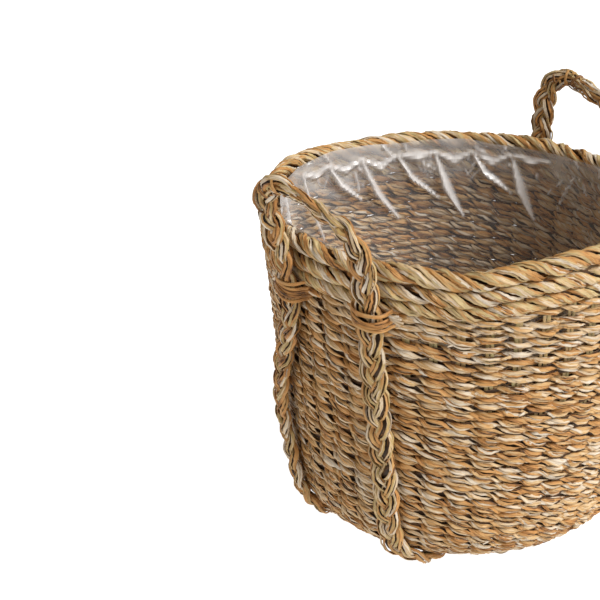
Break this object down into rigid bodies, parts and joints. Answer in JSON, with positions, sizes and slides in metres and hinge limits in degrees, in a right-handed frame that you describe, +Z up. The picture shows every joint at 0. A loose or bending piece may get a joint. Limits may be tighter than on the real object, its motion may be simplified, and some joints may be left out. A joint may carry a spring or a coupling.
{
  "type": "storage basket",
  "caption": "Round woven seagrass basket with a rounded foot, twisted rim border, clear film liner, and braided strap handles lashed to the wall that rise as loops above the rim.",
  "frame": {"origin": "middle of the flat underside, on the surface that the basket stands on", "axes": "+Z up through the open mouth, X through the two handles with the left handle at -X, Y across"},
  "size_m": [0.3928, 0.34, 0.3533],
  "materials": {
    "seagrass_weave": "dried twisted leaf, satin",
    "seagrass_stakes": "dried leaf, greenish, satin",
    "seagrass_rim": "dried twisted leaf, pale, satin",
    "seagrass_handle": "dried braided leaf, satin",
    "seagrass_lashing": "dried leaf, satin",
    "liner_film": "clear gloss film"
  },
  "bodies": {
    "basket": {"woven_base": "seagrass_weave", "stake_layer": "seagrass_stakes", "plastic_liner": "liner_film", "weft_course_01": "seagrass_weave", "weft_course_02": "seagrass_weave", "weft_course_03": "seagrass_weave", "weft_course_04": "seagrass_weave", "weft_course_05": "seagrass_weave", "weft_course_06": "seagrass_weave", "weft_course_07": "seagrass_weave", "weft_course_08": "seagrass_weave", "weft_course_09": "seagrass_weave", "weft_course_10": "seagrass_weave", "weft_course_11": "seagrass_weave", "weft_course_12": "seagrass_weave", "weft_course_13": "seagrass_weave", "weft_course_14": "seagrass_weave", "weft_course_15": "seagrass_weave", "weft_course_16": "seagrass_weave", "weft_course_17": "seagrass_weave", "weft_course_18": "seagrass_weave", "weft_course_19": "seagrass_weave", "weft_course_20": "seagrass_weave", "weft_course_21": "seagrass_weave", "weft_course_22": "seagrass_weave", "weft_course_23": "seagrass_weave", "weft_course_24": "seagrass_weave", "weft_course_25": "seagrass_weave", "weft_course_26": "seagrass_weave", "weft_course_27": "seagrass_weave", "weft_course_28": "seagrass_weave", "weft_course_29": "seagrass_weave", "weft_course_30": "seagrass_weave", "weft_course_31": "seagrass_weave", "weft_course_32": "seagrass_weave", "weft_course_33": "seagrass_weave", "weft_course_34": "seagrass_weave", "weft_course_35": "seagrass_weave", "weft_course_36": "seagrass_weave", "handle_left_leg_front": "seagrass_handle", "handle_left_leg_back": "seagrass_handle", "handle_right_leg_front": "seagrass_handle", "handle_right_leg_back": "seagrass_handle", "lashing_left_front": "seagrass_lashing", "lashing_left_back": "seagrass_lashing", "lashing_right_front": "seagrass_lashing", "lashing_right_back": "seagrass_lashing", "rim_cord_lower": "seagrass_rim", "rim_cord_middle": "seagrass_rim", "rim_cord_top": "seagrass_rim"},
    "left_handle": {"handle_left_loop": "seagrass_handle"},
    "right_handle": {"handle_right_loop": "seagrass_handle"}
  },
  "joints": [
    {"name": "left_handle_flex", "type": "hinge", "parent": "basket", "child": "left_handle", "pos_m": [-0.1766, 0, 0.2854], "axis": [0, -1, 0], "range_deg": [-40, 30], "stiffness_Nm_per_rad": 0.6},
    {"name": "right_handle_flex", "type": "hinge", "parent": "basket", "child": "right_handle", "pos_m": [0.1766, 0, 0.2854], "axis": [0, 1, 0], "range_deg": [-40, 30], "stiffness_Nm_per_rad": 0.6}
  ]
}
